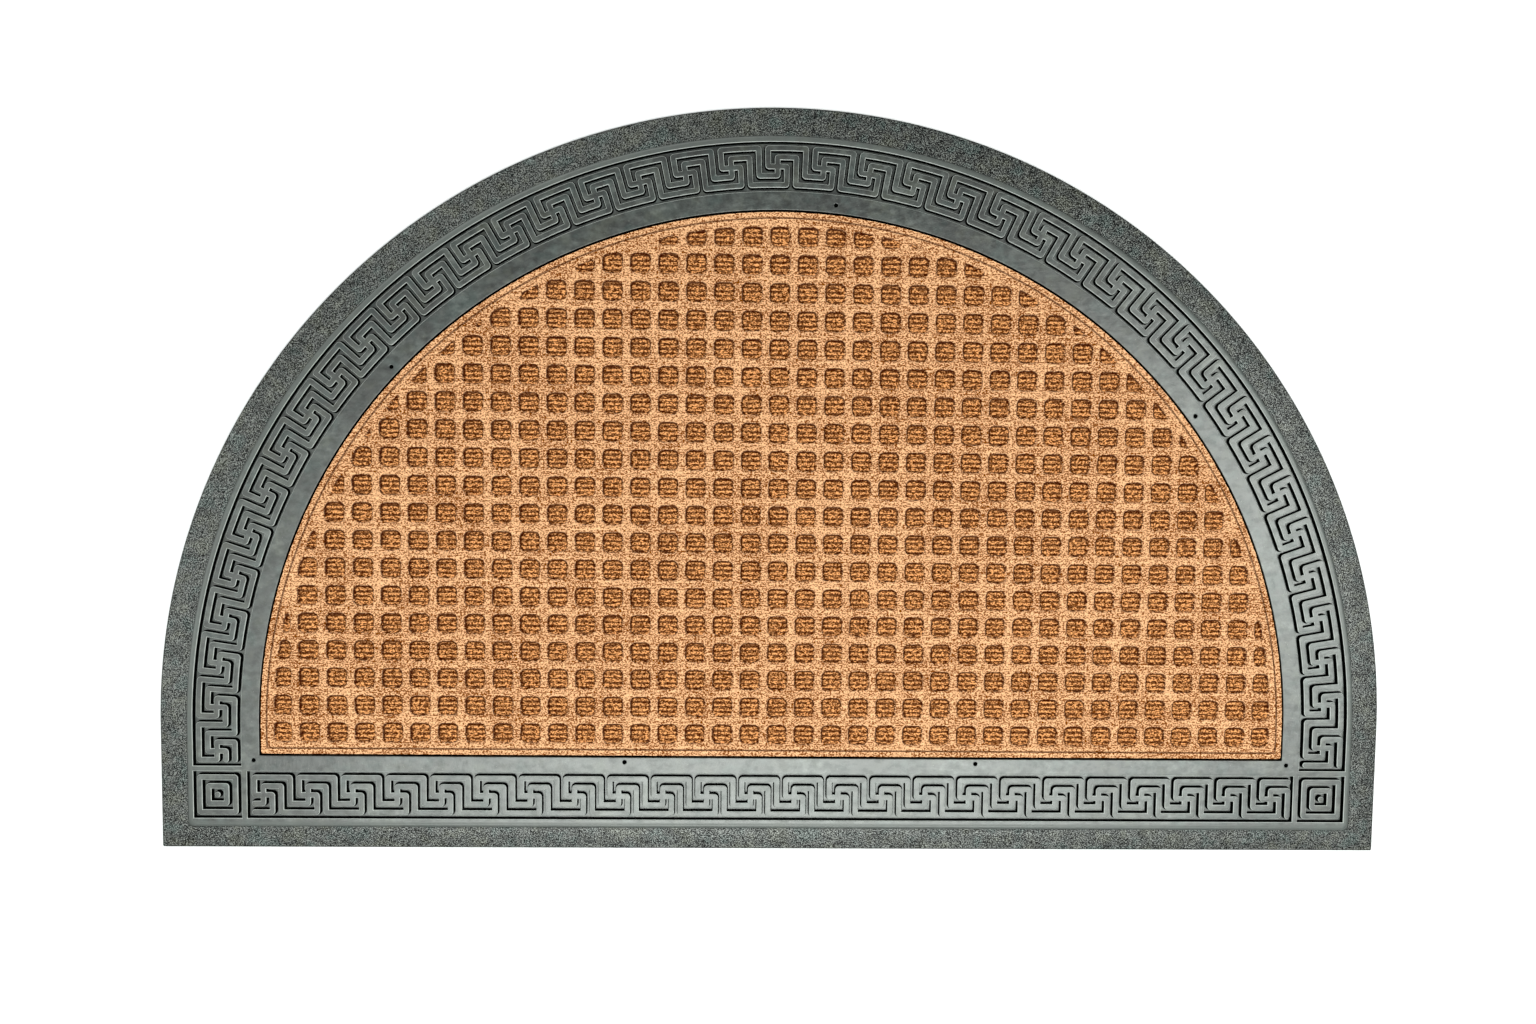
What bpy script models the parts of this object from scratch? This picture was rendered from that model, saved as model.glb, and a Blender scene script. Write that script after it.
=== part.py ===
# Half-moon doormat: a moulded rubber tray with a sloping apron, a Greek key border in relief
# and two corner blocks, and a needle-punch carpet with pressed cells that lies in the tray.
# Lengths are in metres, +Z is up, and the origin is under the middle of the mat's box.

import math

import bmesh
import bpy

MM = 0.001

# Outline: straight sides up to the arc's centre, then half a circle
RADIUS = 375 * MM
SIDE = 76 * MM
DEPTH = SIDE + RADIUS
ARC_STEPS = 72
CORNER_STEPS = 3

# Heights above the floor
EDGE_TOP = 2.0 * MM
TRAY_TOP = 6.0 * MM
SUNK_FLOOR = 3.0 * MM
CARPET_UNDERSIDE = 3.3 * MM
CARPET_TOP = 7.0 * MM
CELL_FLOOR = 5.0 * MM

# The rim between the apron and the border
RIM_RADIUS = 357.6 * MM
RIM_BOTTOM = 14.0 * MM
RIM_CORNER = 4 * MM
EDGE_CORNER = 1 * MM

# The border is laid out on a lattice: a raised band, then a sunk valley, in each pitch
PITCH = 5.38 * MM
BAND = 0.6
VALLEY = 1 - BAND
KEY_ROWS = 5
FRAME_RADIUS = 354 * MM
FRAME_BOTTOM = 19.2 * MM
BOTTOM_COLUMNS = 119
ARC_FIRST_COLUMN = 4
ARC_LAST_COLUMN = 207
KEY_STEP = 5
# The keys are a little closer together on the sides than over the top
ARC_SWAY = 2.0 * MM
ARC_BULGE = 0.8 * MM
BOTTOM_SHIFT = 0.6 * MM
# One turn of the key as (column, row) corners, rows counted outwards from the carpet
KEY_PATH = ((0, 0), (4, 0), (4, 3), (6, 3), (6, 1), (8, 1), (8, 4), (12, 4), (12, 2), (10, 2), (10, 0))
BLOCK_RINGS = (
    ((0, 0), (4, 0), (4, 4), (0, 4), (0, 0)),
    ((1, 1), (3, 1), (3, 3), (1, 3), (1, 1)),
)
STUD_RADIUS = 1.7 * MM
STUD_SIDES = 12

# The recess, and the vent holes in the margin around it
RECESS_RADIUS = 314 * MM
RECESS_BOTTOM = 58 * MM
VENT_RADIUS = 1.2 * MM
VENT_DEPTH = 1.2 * MM
VENT_SIDES = 8
VENT_LINE_RADIUS = 318.7 * MM
VENT_LINE_BOTTOM = 55 * MM
VENT_BOTTOM_X = (-317.6 * MM, -92.9 * MM, 122.9 * MM, 316.8 * MM)
VENT_ARC_DEGREES = (37.6, 84.3, 136.9)

# The carpet and its cells
CARPET_RADIUS = 312.5 * MM
CARPET_BOTTOM = 59.5 * MM
CELL_SIZE = 12.0 * MM
CELL_PITCH_X = 16.66 * MM
CELL_PITCH_Y = 16.74 * MM
CELL_COLUMNS = 37
CELL_ROWS = 19
CELL_FIRST_ROW_Y = 72.7 * MM
CELL_MIDDLE_Y = 79.4 * MM
CELL_LEAN = 0.0045
CELL_LIMIT_RADIUS = 305 * MM
CELL_LIMIT_BOTTOM = 65 * MM
CELL_CENTRE_REACH = 3.5 * MM

# How far a cutter stands past the face that it cuts
CLEAR = 1 * MM

FRAME_INNER = FRAME_RADIUS - KEY_ROWS * PITCH
ROW_ZERO_Y = FRAME_BOTTOM + KEY_ROWS * PITCH
STRIP_END_X = FRAME_RADIUS - (KEY_ROWS + 1) * PITCH
STRIP_END_Y = FRAME_BOTTOM + (KEY_ROWS + 1) * PITCH


def clear_scene():
    for thing in list(bpy.data.objects):
        bpy.data.objects.remove(thing, do_unlink=True)


def make_collection(name):
    group = bpy.data.collections.new(name)
    bpy.context.scene.collection.children.link(group)
    return group


def corner_arc(centre_x, centre_y, radius, start):
    if radius == 0:
        return [(centre_x, centre_y)]
    points = []
    for step in range(CORNER_STEPS + 1):
        angle = start + math.pi / 2 * step / CORNER_STEPS
        points.append((centre_x + radius * math.cos(angle), centre_y + radius * math.sin(angle)))
    return points


# Half-moon of a radius, its straight edge at bottom, anticlockwise from the bottom left
def half_moon(radius, bottom, corner=0.0):
    points = corner_arc(-radius + corner, bottom + corner, corner, math.pi)
    points += corner_arc(radius - corner, bottom + corner, corner, math.pi * 1.5)
    for step in range(ARC_STEPS + 1):
        angle = math.pi * step / ARC_STEPS
        points.append((radius * math.cos(angle), SIDE + radius * math.sin(angle)))
    return points


def circle(centre_x, centre_y, radius, sides):
    points = []
    for step in range(sides):
        angle = 2 * math.pi * step / sides
        points.append((centre_x + radius * math.cos(angle), centre_y + radius * math.sin(angle)))
    return points


# Closed solid through rings of the same number of points, lowest ring first
def loft(name, rings, collection):
    shape = bmesh.new()
    rows = []
    for points, height in rings:
        rows.append([shape.verts.new((x, y, height)) for x, y in points])
    for lower, upper in zip(rows, rows[1:]):
        for index in range(len(lower)):
            after = (index + 1) % len(lower)
            shape.faces.new((lower[index], lower[after], upper[after], upper[index]))
    shape.faces.new(list(reversed(rows[0])))
    shape.faces.new(rows[-1])
    mesh = bpy.data.meshes.new(name)
    shape.to_mesh(mesh)
    shape.free()
    solid = bpy.data.objects.new(name, mesh)
    collection.objects.link(solid)
    return solid


# Prism of a flat outline with holes, from one height to another
def prism(name, loops, low, high, collection):
    outline = bpy.data.curves.new(name, "CURVE")
    outline.dimensions = "2D"
    outline.fill_mode = "BOTH"
    outline.extrude = (high - low) / 2
    for loop in loops:
        spline = outline.splines.new("POLY")
        spline.points.add(len(loop) - 1)
        for point, (x, y) in zip(spline.points, loop):
            point.co = (x, y, 0, 1)
        spline.use_cyclic_u = True
    drawn = bpy.data.objects.new(name + "_outline", outline)
    drawn.location.z = (low + high) / 2
    collection.objects.link(drawn)
    bpy.context.view_layer.update()
    filled = drawn.evaluated_get(bpy.context.evaluated_depsgraph_get())
    mesh = bpy.data.meshes.new_from_object(filled)
    mesh.name = name
    shape = bmesh.new()
    shape.from_mesh(mesh)
    bmesh.ops.remove_doubles(shape, verts=shape.verts, dist=0.000001)
    bmesh.ops.recalc_face_normals(shape, faces=shape.faces)
    shape.to_mesh(mesh)
    shape.free()
    solid = bpy.data.objects.new(name, mesh)
    solid.matrix_world = drawn.matrix_world
    collection.objects.link(solid)
    bpy.data.objects.remove(drawn, do_unlink=True)
    return solid


def cut(target, cutter, operation="DIFFERENCE"):
    cutter.hide_render = True
    cutter.display_type = "WIRE"
    step = target.modifiers.new(cutter.name, "BOOLEAN")
    step.operation = operation
    step.solver = "MANIFOLD"
    step.object = cutter


# Squares of the lattice under a path: band squares are even, valley squares odd
def squares_under(path, first, last):
    squares = set()
    for (column, row), (next_column, next_row) in zip(path, path[1:]):
        for across in range(2 * min(column, next_column), 2 * max(column, next_column) + 1):
            for outward in range(2 * min(row, next_row), 2 * max(row, next_row) + 1):
                if 2 * first <= across <= 2 * last:
                    squares.add((across - 2 * first, outward))
    return squares


# Squares of a strip of the border, where each turn of the key starts KEY_STEP columns on
def key_squares(first, last):
    squares = set()
    for turn in range(first // KEY_STEP - 2, last // KEY_STEP + 1):
        path = [(column + turn * KEY_STEP, row) for column, row in KEY_PATH]
        squares |= squares_under(path, first, last)
    return squares


# Edges of a set of squares as closed loops of lattice corners, without the points between
def trace(squares):
    following = {}
    for column, row in squares:
        corners = ((column, row), (column + 1, row), (column + 1, row + 1), (column, row + 1))
        beyond = ((column, row - 1), (column + 1, row), (column, row + 1), (column - 1, row))
        for index, neighbour in enumerate(beyond):
            if neighbour not in squares:
                following[corners[index]] = corners[(index + 1) % len(corners)]
    loops = []
    while following:
        start = min(following)
        loop = [start]
        here = following.pop(start)
        while here != start:
            loop.append(here)
            here = following.pop(here)
        turns = []
        for index, here in enumerate(loop):
            before = loop[index - 1]
            after = loop[(index + 1) % len(loop)]
            if before[0] != after[0] and before[1] != after[1]:
                turns.append(here)
        loops.append(turns)
    return loops


# Distance of a lattice line from the first one, in pitches
def line_place(line):
    return line // 2 + BAND * (line % 2)


def bottom_point(column_line, row_line):
    length = 2 * STRIP_END_X
    step = length / (BOTTOM_COLUMNS + VALLEY)
    x = -STRIP_END_X + step * (VALLEY + line_place(column_line)) + BOTTOM_SHIFT
    return x, ROW_ZERO_Y - PITCH * line_place(row_line)


# A point of the strip that runs up the right side, over the top and down the left side
def arc_point(share, radius):
    middle = FRAME_INNER + (KEY_ROWS - VALLEY) * PITCH / 2
    straight = SIDE - STRIP_END_Y
    run = share * (2 * straight + math.pi * middle)
    run += ARC_BULGE * math.sin(math.pi * share) - ARC_SWAY * math.sin(2 * math.pi * share)
    if run < straight:
        return radius, STRIP_END_Y + run
    if run > straight + math.pi * middle:
        return -radius, SIDE - (run - straight - math.pi * middle)
    angle = (run - straight) / middle
    return radius * math.cos(angle), SIDE + radius * math.sin(angle)


def arc_key_point(column_line, row_line):
    steps = ARC_LAST_COLUMN - ARC_FIRST_COLUMN + 1 + VALLEY
    share = (VALLEY + line_place(column_line)) / steps
    return arc_point(share, FRAME_INNER + PITCH * line_place(row_line))


def arc_window():
    inner = FRAME_INNER - VALLEY * PITCH
    points = [(FRAME_RADIUS, STRIP_END_Y)]
    for step in range(ARC_STEPS + 1):
        angle = math.pi * step / ARC_STEPS
        points.append((FRAME_RADIUS * math.cos(angle), SIDE + FRAME_RADIUS * math.sin(angle)))
    points.append((-FRAME_RADIUS, STRIP_END_Y))
    points.append((-inner, STRIP_END_Y))
    for step in range(ARC_STEPS, -1, -1):
        angle = math.pi * step / ARC_STEPS
        points.append((inner * math.cos(angle), SIDE + inner * math.sin(angle)))
    points.append((inner, STRIP_END_Y))
    return points


def rectangle(left, right, low, high):
    return [(left, low), (right, low), (right, high), (left, high)]


def cut_border(tray, cutters):
    top = TRAY_TOP + CLEAR
    inner = FRAME_INNER - VALLEY * PITCH
    high = ROW_ZERO_Y + VALLEY * PITCH

    loops = [rectangle(-STRIP_END_X, STRIP_END_X, FRAME_BOTTOM, high)]
    for loop in trace(key_squares(0, BOTTOM_COLUMNS - 1)):
        loops.append([bottom_point(*corner) for corner in loop])
    cut(tray, prism("bottom_valleys", loops, SUNK_FLOOR, top, cutters))

    loops = [arc_window()]
    for loop in trace(key_squares(ARC_FIRST_COLUMN, ARC_LAST_COLUMN)):
        loops.append([arc_key_point(*corner) for corner in loop])
    cut(tray, prism("arc_valleys", loops, SUNK_FLOOR, top, cutters))

    centre = (KEY_ROWS - 1 + BAND) * PITCH / 2
    for side, name in ((-1, "left_block_valleys"), (1, "right_block_valleys")):
        left = min(side * inner, side * FRAME_RADIUS)
        loops = [rectangle(left, left + FRAME_RADIUS - inner, FRAME_BOTTOM, high)]
        for ring in BLOCK_RINGS:
            for loop in trace(squares_under(ring, 0, KEY_ROWS - 1)):
                placed = []
                for column_line, row_line in loop:
                    x = side * (FRAME_INNER + PITCH * line_place(column_line))
                    placed.append((x, ROW_ZERO_Y - PITCH * line_place(row_line)))
                loops.append(placed)
        loops.append(circle(side * (FRAME_INNER + centre), ROW_ZERO_Y - centre, STUD_RADIUS, STUD_SIDES))
        cut(tray, prism(name, loops, SUNK_FLOOR, top, cutters))


def cut_vents(tray, cutters):
    places = [(x, VENT_LINE_BOTTOM) for x in VENT_BOTTOM_X]
    for degrees in VENT_ARC_DEGREES:
        angle = math.radians(degrees)
        places.append((VENT_LINE_RADIUS * math.cos(angle), SIDE + VENT_LINE_RADIUS * math.sin(angle)))
    loops = [circle(x, y, VENT_RADIUS, VENT_SIDES) for x, y in places]
    cut(tray, prism("vents", loops, TRAY_TOP - VENT_DEPTH, TRAY_TOP + CLEAR, cutters))


def make_tray(parts, cutters):
    edge = half_moon(RADIUS, 0, EDGE_CORNER)
    rim = half_moon(RIM_RADIUS, RIM_BOTTOM, RIM_CORNER)
    tray = loft("rubber_base", ((edge, 0), (edge, EDGE_TOP), (rim, TRAY_TOP)), parts)
    recess = half_moon(RECESS_RADIUS, RECESS_BOTTOM)
    cut(tray, prism("carpet_recess", [recess], SUNK_FLOOR, TRAY_TOP + CLEAR, cutters))
    cut_vents(tray, cutters)
    cut_border(tray, cutters)
    return tray


# One block for each cell, where its middle is inside the limit. The pressed rows lean: each
# lies a little further right than the row above it
def cell_blocks(cutters):
    shape = bmesh.new()
    height = CARPET_TOP + CLEAR - CELL_FLOOR
    for row in range(CELL_ROWS):
        y = CELL_FIRST_ROW_Y + row * CELL_PITCH_Y
        shift = CELL_LEAN * (CELL_MIDDLE_Y - y)
        for column in range(CELL_COLUMNS):
            x = (column - (CELL_COLUMNS - 1) / 2) * CELL_PITCH_X + shift
            reach = math.hypot(x, max(0.0, y - SIDE))
            if reach > CELL_LIMIT_RADIUS + CELL_CENTRE_REACH:
                continue
            made = bmesh.ops.create_cube(shape, size=1)["verts"]
            bmesh.ops.scale(shape, vec=(CELL_SIZE, CELL_SIZE, height), verts=made)
            bmesh.ops.translate(shape, vec=(x, y, CELL_FLOOR + height / 2), verts=made)
    mesh = bpy.data.meshes.new("cells")
    shape.to_mesh(mesh)
    shape.free()
    blocks = bpy.data.objects.new("cells", mesh)
    cutters.objects.link(blocks)
    return blocks


def make_carpet(parts, cutters):
    outline = half_moon(CARPET_RADIUS, CARPET_BOTTOM)
    carpet = prism("carpet_inlay", [outline], CARPET_UNDERSIDE, CARPET_TOP, parts)
    cells = cell_blocks(cutters)
    limit = half_moon(CELL_LIMIT_RADIUS, CELL_LIMIT_BOTTOM)
    low = CELL_FLOOR - CLEAR
    high = CARPET_TOP + 2 * CLEAR
    cut(cells, prism("cell_limit", [limit], low, high, cutters), "INTERSECT")
    cut(carpet, cells)
    return carpet


def make_material(name, colour, roughness):
    material = bpy.data.materials.new(name)
    material.use_nodes = True
    shader = material.node_tree.nodes["Principled BSDF"]
    shader.inputs["Base Color"].default_value = (*colour, 1)
    shader.inputs["Roughness"].default_value = roughness
    shader.inputs["Metallic"].default_value = 0
    material.diffuse_color = (*colour, 1)
    return material


def main():
    clear_scene()
    parts = make_collection("half_moon_doormat")
    cutters = make_collection("cutters")
    tray = make_tray(parts, cutters)
    carpet = make_carpet(parts, cutters)
    tray.data.materials.append(make_material("moulded_rubber", (0.11, 0.125, 0.12), 0.6))
    carpet.data.materials.append(make_material("ribbed_carpet", (0.52, 0.29, 0.13), 0.95))
    middle = bpy.data.objects.new("mat_middle", None)
    parts.objects.link(middle)
    for thing in list(parts.objects) + list(cutters.objects):
        if thing is not middle:
            thing.parent = middle
    middle.location = (0, -DEPTH / 2, 0)


main()
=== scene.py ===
import math

import bmesh
import bpy
import numpy as np
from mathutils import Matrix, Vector, noise


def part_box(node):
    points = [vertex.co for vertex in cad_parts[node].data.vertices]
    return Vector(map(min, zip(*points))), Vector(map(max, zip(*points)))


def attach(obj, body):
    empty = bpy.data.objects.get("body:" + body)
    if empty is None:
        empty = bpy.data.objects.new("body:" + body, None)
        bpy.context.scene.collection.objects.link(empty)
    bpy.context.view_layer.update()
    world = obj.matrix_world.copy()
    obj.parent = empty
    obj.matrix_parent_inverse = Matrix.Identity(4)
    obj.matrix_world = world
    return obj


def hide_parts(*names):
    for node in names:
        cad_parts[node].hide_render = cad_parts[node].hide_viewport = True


# Half-moon doormat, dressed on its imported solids: the moulded rubber tray with its key border,
# and the ribbed carpet inlay with its pressed cells. Metres, +Y from the straight edge to the arc.

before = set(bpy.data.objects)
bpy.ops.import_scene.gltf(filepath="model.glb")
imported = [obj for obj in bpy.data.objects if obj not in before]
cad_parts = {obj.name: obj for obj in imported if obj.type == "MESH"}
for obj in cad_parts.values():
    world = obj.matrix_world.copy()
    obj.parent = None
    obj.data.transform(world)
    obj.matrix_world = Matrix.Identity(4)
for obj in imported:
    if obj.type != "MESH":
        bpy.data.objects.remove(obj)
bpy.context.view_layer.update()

mm = 0.001
weldDistance = 0.002 * mm
trayLow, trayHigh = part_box("rubber_base")
carpetLow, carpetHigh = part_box("carpet_inlay")

mat = {
    "radius": trayHigh.x,
    "edgeY": trayLow.y,  # the straight edge
    "arcY": trayHigh.y - trayHigh.x,  # centre of the arc
    "top": trayHigh.z,
}


# Outlines

def halfMoon(radius, edgeY, corner, steps):
    points = []
    for step in range(steps["edge"] + 1):
        share = step / steps["edge"]
        points.append((-(radius - corner) * (1 - 2 * share), edgeY))
    for step in range(1, steps["corner"]):
        turn = math.pi / 2 * step / steps["corner"]
        side = radius - corner + corner * math.sin(turn)
        points.append((side, edgeY + corner - corner * math.cos(turn)))
    for step in range(steps["side"]):
        share = step / steps["side"]
        points.append((radius, edgeY + corner + share * (mat["arcY"] - edgeY - corner)))
    for step in range(steps["arc"] + 1):
        turn = math.pi * step / steps["arc"]
        points.append((radius * math.cos(turn), mat["arcY"] + radius * math.sin(turn)))
    for step in range(1, steps["side"] + 1):
        share = 1 - step / steps["side"]
        points.append((-radius, edgeY + corner + share * (mat["arcY"] - edgeY - corner)))
    for step in range(1, steps["corner"]):
        turn = math.pi / 2 * step / steps["corner"]
        side = -radius + corner - corner * math.cos(turn)
        points.append((side, edgeY + corner - corner * math.sin(turn)))
    return np.array(points)


def stepsFor(radius, spacing, corner=4):
    length = mat["arcY"] - mat["edgeY"]
    return {
        "edge": round(2 * radius / spacing),
        "side": round(length / spacing),
        "arc": round(math.pi * radius / spacing),
        "corner": corner,
    }


def circle(x, y, radius, sides=20):
    turns = [2 * math.pi * step / sides for step in range(sides)]
    return [(x + radius * math.cos(turn), y + radius * math.sin(turn)) for turn in turns]


def rectangle(left, right, low, high):
    return [(left, low), (right, low), (right, high), (left, high)]


# Solids

def newObject(name, mesh):
    thing = bpy.data.objects.new(name, mesh)
    bpy.context.scene.collection.objects.link(thing)
    return thing


# Closed solid through rings of the same number of points, lowest ring first
def loft(name, rings):
    count = len(rings[0])
    points = np.concatenate(rings)
    faces = [list(range(count - 1, -1, -1))]
    for ring in range(len(rings) - 1):
        for index in range(count):
            after = (index + 1) % count
            low, high = ring * count, (ring + 1) * count
            faces.append((low + index, low + after, high + after, high + index))
    last = (len(rings) - 1) * count
    faces.append(list(range(last, last + count)))
    mesh = bpy.data.meshes.new(name)
    mesh.from_pydata(points.tolist(), [], faces)
    return newObject(name, mesh)


# Solid of nested flat outlines, widened, or with its edges rounded
def curveSolid(name, loops, low, high, edgeRound=0.0, roundSteps=0, widen=0.0):
    outline = bpy.data.curves.new(name, "CURVE")
    outline.dimensions = "2D"
    outline.fill_mode = "BOTH"
    outline.extrude = (high - low) / 2 - edgeRound
    outline.bevel_depth = edgeRound
    outline.bevel_resolution = roundSteps
    outline.offset = widen - edgeRound
    for loop in loops:
        spline = outline.splines.new("POLY")
        spline.points.add(len(loop) - 1)
        for point, (x, y) in zip(spline.points, loop):
            point.co = (x, y, 0, 1)
        spline.use_cyclic_u = True
    drawn = newObject(name + "Outline", outline)
    drawn.location.z = (low + high) / 2
    bpy.context.view_layer.update()
    seen = drawn.evaluated_get(bpy.context.evaluated_depsgraph_get())
    mesh = bpy.data.meshes.new_from_object(seen)
    mesh.transform(drawn.matrix_world)
    bpy.data.objects.remove(drawn, do_unlink=True)
    shape = bmesh.new()
    shape.from_mesh(mesh)
    bmesh.ops.remove_doubles(shape, verts=shape.verts, dist=weldDistance)
    bmesh.ops.recalc_face_normals(shape, faces=shape.faces)
    openEdges = sum(not edge.is_manifold for edge in shape.edges)
    shape.to_mesh(mesh)
    shape.free()
    print(name, "faces", len(mesh.polygons), "open edges", openEdges)
    return newObject(name, mesh)


def combine(target, tool, operation):
    step = target.modifiers.new(tool.name, "BOOLEAN")
    step.operation = operation
    step.solver = "MANIFOLD"
    step.object = tool
    bpy.context.view_layer.update()
    seen = target.evaluated_get(bpy.context.evaluated_depsgraph_get())
    mesh = bpy.data.meshes.new_from_object(seen)
    target.modifiers.clear()
    target.data = mesh
    bpy.data.objects.remove(tool, do_unlink=True)
    print(target.name, operation.lower(), "faces", len(mesh.polygons))


# Key border

border = {
    "rimRadius": 357.6 * mm,
    "rimInset": 14.0 * mm,  # all insets are from the straight edge
    "rimCorner": 4.0 * mm,
    "rimCornerSteps": 6,
    "rimSpacing": 2 * mm,
    "pitch": 5.38 * mm,
    "band": 0.6,  # share of the pitch that is raised
    "rows": 5,
    "frameRadius": 354.0 * mm,
    "frameInset": 19.2 * mm,
    "bottomColumns": 119,
    "arcFirst": 4,
    "arcLast": 207,
    "turnColumns": 5,
    "arcSway": 2.0 * mm,  # the keys are closer together on the sides than over the top
    "arcBulge": 0.8 * mm,
    "bottomShift": 0.6 * mm,
    "floor": 3.0 * mm,
    "root": 1.2 * mm,  # the bands' solids start here, inside the rubber
    "footWidth": 0.62 * mm,  # of the foot around each band, whose top gets the groove walls' painted shade
    "footHeight": 0.07 * mm,
    "edgeRound": 0.4 * mm,
    "roundSteps": 2,
    "turnRound": 0.4,  # outer corners of a band, in pitches
    "turnSteps": 4,
    "turnLimit": 0.49,  # of a run's length, so that its two rounded corners don't meet
    "longestRun": 1.5,  # in pitches, so that bands follow the arc
    "studRadius": 1.7 * mm,
}

# One turn of the key as (column, row) corners, rows counted outwards from the carpet
keyPath = (
    (0, 0), (4, 0), (4, 3), (6, 3), (6, 1), (8, 1),
    (8, 4), (12, 4), (12, 2), (10, 2), (10, 0),
)
blockRings = (
    ((0, 0), (4, 0), (4, 4), (0, 4), (0, 0)),
    ((1, 1), (3, 1), (3, 3), (1, 3), (1, 1)),
)


# Squares of the lattice under a path: band squares are even, valley squares odd
def squaresUnder(path, first, last):
    squares = set()
    for (column, row), (nextColumn, nextRow) in zip(path, path[1:]):
        for across in range(2 * min(column, nextColumn), 2 * max(column, nextColumn) + 1):
            for outward in range(2 * min(row, nextRow), 2 * max(row, nextRow) + 1):
                if 2 * first <= across <= 2 * last:
                    squares.add((across - 2 * first, outward))
    return squares


def keySquares(first, last):
    squares = set()
    turn = border["turnColumns"]
    for start in range(first // turn - 2, last // turn + 1):
        path = [(column + start * turn, row) for column, row in keyPath]
        squares |= squaresUnder(path, first, last)
    return squares


# Edges of a set of squares as closed loops of corners, the squares on their left
def trace(squares):
    following = {}
    for column, row in squares:
        corners = ((column, row), (column + 1, row), (column + 1, row + 1), (column, row + 1))
        beyond = ((column, row - 1), (column + 1, row), (column, row + 1), (column - 1, row))
        for index, neighbour in enumerate(beyond):
            if neighbour not in squares:
                following[corners[index]] = corners[(index + 1) % 4]
    loops = []
    while following:
        start = min(following)
        loop = [start]
        here = following.pop(start)
        while here != start:
            loop.append(here)
            here = following.pop(here)
        turns = []
        for index, here in enumerate(loop):
            before = loop[index - 1]
            after = loop[(index + 1) % len(loop)]
            if before[0] != after[0] and before[1] != after[1]:
                turns.append(here)
        loops.append(turns)
    return loops


# Distance of a lattice line from the first one, in pitches
def linePlace(line):
    return line // 2 + border["band"] * (line % 2)


# A traced loop in pitches, its outer corners rounded and its long runs divided
def roundedLoop(corners):
    places = [Vector((linePlace(column), linePlace(row))) for column, row in corners]
    points = []
    for index, here in enumerate(places):
        before = places[index - 1] - here
        after = places[(index + 1) % len(places)] - here
        outer = before.cross(after) < 0  # a left turn, with the band on the left
        radius = 0.0
        if outer:
            shorter = min(before.length, after.length)
            radius = min(border["turnRound"], border["turnLimit"] * shorter)
        start = here + before.normalized() * radius
        end = here + after.normalized() * radius
        if points:
            points += dividedRun(points[-1], start)
        if outer:
            for step in range(border["turnSteps"] + 1):
                share = math.pi / 2 * step / border["turnSteps"]
                along = (here - start) * math.sin(share)
                points.append(start + along + (end - here) * (1 - math.cos(share)))
        else:
            points.append(here)
    points += dividedRun(points[-1], points[0])
    return points


def dividedRun(start, end):
    pieces = max(1, math.ceil((end - start).length / border["longestRun"]))
    return [start.lerp(end, step / pieces) for step in range(1, pieces)]


valley = 1 - border["band"]
frameInner = border["frameRadius"] - border["rows"] * border["pitch"]
rowZeroY = mat["edgeY"] + border["frameInset"] + border["rows"] * border["pitch"]
stripEndX = border["frameRadius"] - (border["rows"] + 1) * border["pitch"]
stripEndY = mat["edgeY"] + border["frameInset"] + (border["rows"] + 1) * border["pitch"]


def bottomPoint(place):
    step = 2 * stripEndX / (border["bottomColumns"] + valley)
    x = -stripEndX + step * (valley + place.x) + border["bottomShift"]
    return (x, rowZeroY - border["pitch"] * place.y)


# A point of the strip that runs up the right side, over the top and down the left side
def arcPoint(place):
    radius = frameInner + border["pitch"] * place.y
    middle = frameInner + (border["rows"] - valley) * border["pitch"] / 2
    straight = mat["arcY"] - stripEndY
    columns = border["arcLast"] - border["arcFirst"] + 1 + valley
    share = (valley + place.x) / columns
    run = share * (2 * straight + math.pi * middle)
    run += border["arcBulge"] * math.sin(math.pi * share)
    run -= border["arcSway"] * math.sin(2 * math.pi * share)
    if run < straight:
        return (radius, stripEndY + run)
    if run > straight + math.pi * middle:
        return (-radius, mat["arcY"] - (run - straight - math.pi * middle))
    turn = (run - straight) / middle
    return (radius * math.cos(turn), mat["arcY"] + radius * math.sin(turn))


def arcWindow(steps=240):
    inner = frameInner - valley * border["pitch"]
    points = [(border["frameRadius"], stripEndY)]
    for radius, order in ((border["frameRadius"], 1), (inner, -1)):
        for step in range(steps + 1)[::order]:
            turn = math.pi * step / steps
            points.append((radius * math.cos(turn), mat["arcY"] + radius * math.sin(turn)))
        if order == 1:
            points.append((-radius, stripEndY))
            points.append((-inner, stripEndY))
    points.append((inner, stripEndY))
    return points


def borderLoops():
    inner = frameInner - valley * border["pitch"]
    low = mat["edgeY"] + border["frameInset"]
    high = rowZeroY + valley * border["pitch"]
    loops = [rectangle(-stripEndX, stripEndX, low, high), arcWindow()]
    for loop in trace(keySquares(0, border["bottomColumns"] - 1)):
        loops.append([bottomPoint(place) for place in roundedLoop(loop)])
    for loop in trace(keySquares(border["arcFirst"], border["arcLast"])):
        loops.append([arcPoint(place) for place in roundedLoop(loop)])
    middle = (border["rows"] - valley) * border["pitch"] / 2
    for side in (-1, 1):
        left = min(side * inner, side * border["frameRadius"])
        loops.append(rectangle(left, left + border["frameRadius"] - inner, low, high))
        for ring in blockRings:
            for loop in trace(squaresUnder(ring, 0, border["rows"] - 1)):
                pitch = border["pitch"]
                loops.append([
                    (side * (frameInner + pitch * place.x), rowZeroY - pitch * place.y)
                    for place in roundedLoop(loop)
                ])
        loops.append(circle(side * (frameInner + middle), rowZeroY - middle, border["studRadius"]))
    return loops


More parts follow.
